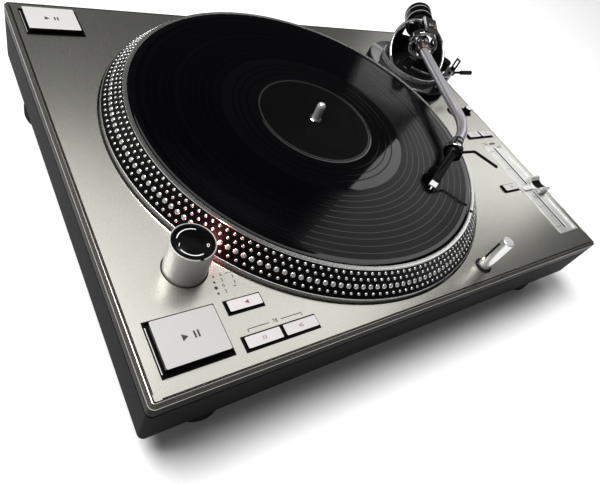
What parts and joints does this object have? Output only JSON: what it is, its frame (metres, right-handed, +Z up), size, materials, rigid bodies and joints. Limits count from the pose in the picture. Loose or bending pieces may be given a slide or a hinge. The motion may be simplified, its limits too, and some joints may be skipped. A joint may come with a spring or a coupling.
{
  "type": "record player",
  "caption": "Direct-drive record player with a strobe-dotted platter, an S-shaped tonearm on a height-adjustable base, start and speed keys, a pitch slider and levelling feet.",
  "frame": {"origin": "on the floor under the middle of the case", "axes": "+X to the player's right along the long side, +Y to the back, +Z up out of the deck"},
  "size_m": [0.458, 0.356, 0.1351],
  "materials": {
    "deck_metal": "satin",
    "bright_trim": "polished",
    "frame_black": "satin",
    "case_grey": "matte",
    "base_rubber": "matte",
    "foot_rubber": "matte",
    "screw_zinc": "satin",
    "well_metal": "satin",
    "bearing_brass": "satin",
    "motor_core": "matte",
    "circuit_green": "matte",
    "socket_black": "gloss",
    "socket_metal": "polished",
    "switch_black": "satin",
    "strip_metal": "satin",
    "lamp_window": "gloss",
    "sleeve_metal": "satin",
    "base_black": "satin",
    "platter_metal": "satin",
    "magnet_dark": "matte",
    "spindle_steel": "polished",
    "mat_felt": "matte",
    "record_vinyl": "gloss",
    "arm_black": "gloss",
    "arm_chrome": "polished",
    "tube_metal": "satin",
    "collar_chrome": "polished",
    "cartridge_black": "gloss",
    "stylus_white": "satin",
    "lift_black": "gloss",
    "weight_black": "satin",
    "dial_black": "satin",
    "knob_metal": "satin",
    "key_white": "satin",
    "start_metal": "satin",
    "fader_metal": "satin",
    "trim_black": "satin"
  },
  "bodies": {
    "case": {"top_plate": "deck_metal", "bezel_rim": "bright_trim", "upper_frame": "frame_black", "plinth_shell": "case_grey", "bottom_cover": "base_rubber", "cover_screws": "screw_zinc", "platter_well": "well_metal", "bearing_housing": "bearing_brass", "motor_stator": "motor_core", "control_board": "circuit_green", "power_supply": "circuit_green", "terminal_panel": "socket_black", "signal_jacks": "socket_metal", "mains_inlet": "socket_black", "front_switch_frame": "switch_black", "rear_switch_frame": "switch_black", "pitch_switch_frame": "switch_black", "pitch_panel": "strip_metal", "pitch_potentiometer": "sleeve_metal", "strobe_post": "lamp_window", "lamp_sleeve": "sleeve_metal", "arm_base": "base_black"},
    "platter": {"platter": "platter_metal", "rotor_magnet": "magnet_dark", "spindle": "spindle_steel", "slipmat": "mat_felt", "record": "record_vinyl"},
    "arm_tower": {"arm_tower": "arm_black", "pivot_cap": "bearing_brass"},
    "height_ring": {"height_ring": "base_black"},
    "rest_clip": {"rest_clip": "dial_black"},
    "anti_skate_dial": {"anti_skate_dial": "dial_black"},
    "cue_bar": {"cue_bar": "arm_black"},
    "cue_lever": {"cue_lever": "dial_black"},
    "gimbal": {"gimbal_ring": "arm_chrome"},
    "arm": {"pivot_block": "arm_chrome", "arm_tube": "tube_metal", "cartridge": "cartridge_black", "stylus": "stylus_white", "finger_lift": "lift_black"},
    "locking_collar": {"locking_collar": "collar_chrome"},
    "counterweight": {"counterweight": "weight_black"},
    "force_dial": {"force_dial": "dial_black"},
    "power_knob": {"power_knob": "knob_metal"},
    "target_lamp": {"target_lamp": "knob_metal"},
    "start_button_front": {"start_button_front": "start_metal"},
    "start_button_rear": {"start_button_rear": "start_metal"},
    "reverse_button": {"reverse_button": "key_white"},
    "speed_33_button": {"speed_33_button": "key_white"},
    "speed_45_button": {"speed_45_button": "key_white"},
    "reset_button": {"reset_button": "key_white"},
    "range_button_left": {"range_button_left": "key_white"},
    "range_button_right": {"range_button_right": "key_white"},
    "pitch_fader": {"pitch_fader": "fader_metal"},
    "start_time_knob": {"start_time_knob": "trim_black"},
    "brake_time_knob": {"brake_time_knob": "trim_black"},
    "foot_front_left": {"foot_front_left": "foot_rubber"},
    "foot_front_right": {"foot_front_right": "foot_rubber"},
    "foot_back_left": {"foot_back_left": "foot_rubber"},
    "foot_back_right": {"foot_back_right": "foot_rubber"}
  },
  "joints": [
    {"name": "platter_spin", "type": "hinge", "parent": "case", "child": "platter", "pos_m": [-0.0285, 0.002, 0.09], "axis": [0, 0, -1], "continuous": true},
    {"name": "height_ring_turn", "type": "hinge", "parent": "arm_tower", "child": "height_ring", "pos_m": [0.1655, 0.092, 0.086], "axis": [0, 0, 1], "range_deg": [0, 300]},
    {"name": "arm_height", "type": "slide", "parent": "case", "child": "arm_tower", "axis": [0, 0, 1], "range_m": [0, 0.006]},
    {"name": "arm_yaw", "type": "hinge", "parent": "arm_tower", "child": "gimbal", "pos_m": [0.1655, 0.092, 0.112], "axis": [0, 0, 1], "range_deg": [-17, 23]},
    {"name": "arm_tilt", "type": "hinge", "parent": "gimbal", "child": "arm", "pos_m": [0.1655, 0.092, 0.112], "axis": [-0.8161, 0.5779, 0], "range_deg": [0, 7]},
    {"name": "collar_turn", "type": "hinge", "parent": "arm", "child": "locking_collar", "pos_m": [0.07794, -0.06384, 0.112], "axis": [-0.84, -0.5427, 0], "range_deg": [0, 70]},
    {"name": "weight_slide", "type": "slide", "parent": "arm", "child": "counterweight", "axis": [-0.5779, -0.8161, 0], "range_m": [-0.01, 0.004]},
    {"name": "force_dial_turn", "type": "hinge", "parent": "counterweight", "child": "force_dial", "pos_m": [0.19035, 0.12709, 0.112], "axis": [-0.5779, -0.8161, 0], "range_deg": [-360, 144]},
    {"name": "anti_skate_turn", "type": "hinge", "parent": "arm_tower", "child": "anti_skate_dial", "pos_m": [0.20529, 0.08037, 0.095], "axis": [0, 0, 1], "range_deg": [0, 270]},
    {"name": "cue_lever_turn", "type": "hinge", "parent": "arm_tower", "child": "cue_lever", "pos_m": [0.1922, 0.059, 0.102], "axis": [0, -1, 0], "range_deg": [0, 50]},
    {"name": "cue_lift", "type": "slide", "parent": "arm_tower", "child": "cue_bar", "axis": [0, 0, 1], "range_m": [0, 0.005]},
    {"name": "rest_clip_turn", "type": "hinge", "parent": "arm_tower", "child": "rest_clip", "pos_m": [0.17397, 0.04562, 0.1135], "axis": [0.0593, -0.9982, 0], "range_deg": [0, 24]},
    {"name": "power_knob_turn", "type": "hinge", "parent": "case", "child": "power_knob", "pos_m": [-0.182, -0.1023, 0.09], "axis": [0, 0, 1], "range_deg": [0, 40]},
    {"name": "target_lamp_rise", "type": "slide", "parent": "case", "child": "target_lamp", "axis": [0, 0, 1], "range_m": [-0.028, 0], "stiffness_N_per_m": 40, "springref_m": 0.006},
    {"name": "start_front_press", "type": "slide", "parent": "case", "child": "start_button_front", "axis": [0, 0, -1], "range_m": [0, 0.0015], "stiffness_N_per_m": 600, "springref_m": -0.002},
    {"name": "start_rear_press", "type": "slide", "parent": "case", "child": "start_button_rear", "axis": [0, 0, -1], "range_m": [0, 0.0015], "stiffness_N_per_m": 600, "springref_m": -0.002},
    {"name": "reverse_press", "type": "slide", "parent": "case", "child": "reverse_button", "axis": [0, 0, -1], "range_m": [0, 0.0015], "stiffness_N_per_m": 400, "springref_m": -0.002},
    {"name": "speed_33_press", "type": "slide", "parent": "case", "child": "speed_33_button", "axis": [0, 0, -1], "range_m": [0, 0.0015], "stiffness_N_per_m": 400, "springref_m": -0.002},
    {"name": "speed_45_press", "type": "slide", "parent": "case", "child": "speed_45_button", "axis": [0, 0, -1], "range_m": [0, 0.0015], "stiffness_N_per_m": 400, "springref_m": -0.002},
    {"name": "reset_press", "type": "slide", "parent": "case", "child": "reset_button", "axis": [0, 0, -1], "range_m": [0, 0.0015], "stiffness_N_per_m": 400, "springref_m": -0.002},
    {"name": "range_left_press", "type": "slide", "parent": "case", "child": "range_button_left", "axis": [0, 0, -1], "range_m": [0, 0.0015], "stiffness_N_per_m": 400, "springref_m": -0.002},
    {"name": "range_right_press", "type": "slide", "parent": "case", "child": "range_button_right", "axis": [0, 0, -1], "range_m": [0, 0.0015], "stiffness_N_per_m": 400, "springref_m": -0.002},
    {"name": "pitch_slide", "type": "slide", "parent": "case", "child": "pitch_fader", "axis": [0, 1, 0], "range_m": [-0.046, 0.048]},
    {"name": "start_time_turn", "type": "hinge", "parent": "case", "child": "start_time_knob", "pos_m": [0.21, 0.021, 0.078], "axis": [0, 0, 1], "range_deg": [-135, 135]},
    {"name": "brake_time_turn", "type": "hinge", "parent": "case", "child": "brake_time_knob", "pos_m": [0.188, 0.022, 0.078], "axis": [0, 0, 1], "range_deg": [-135, 135]},
    {"name": "foot_front_left_turn", "type": "hinge", "parent": "case", "child": "foot_front_left", "pos_m": [-0.183, -0.155, 0.02], "axis": [0, 0, 1], "continuous": true},
    {"name": "foot_front_right_turn", "type": "hinge", "parent": "case", "child": "foot_front_right", "pos_m": [0.183, -0.155, 0.02], "axis": [0, 0, 1], "continuous": true},
    {"name": "foot_back_left_turn", "type": "hinge", "parent": "case", "child": "foot_back_left", "pos_m": [-0.207, 0.124, 0.02], "axis": [0, 0, 1], "continuous": true},
    {"name": "foot_back_right_turn", "type": "hinge", "parent": "case", "child": "foot_back_right", "pos_m": [0.207, 0.124, 0.02], "axis": [0, 0, 1], "continuous": true}
  ],
  "couplings": [
    {"joint": "height_ring_turn", "follows": "arm_height", "rad_per_m": 871.79},
    {"joint": "cue_lift", "follows": "cue_lever_turn", "m_per_rad": 0.0057238},
    {"joint": "force_dial_turn", "follows": "weight_slide", "rad_per_m": 628}
  ]
}
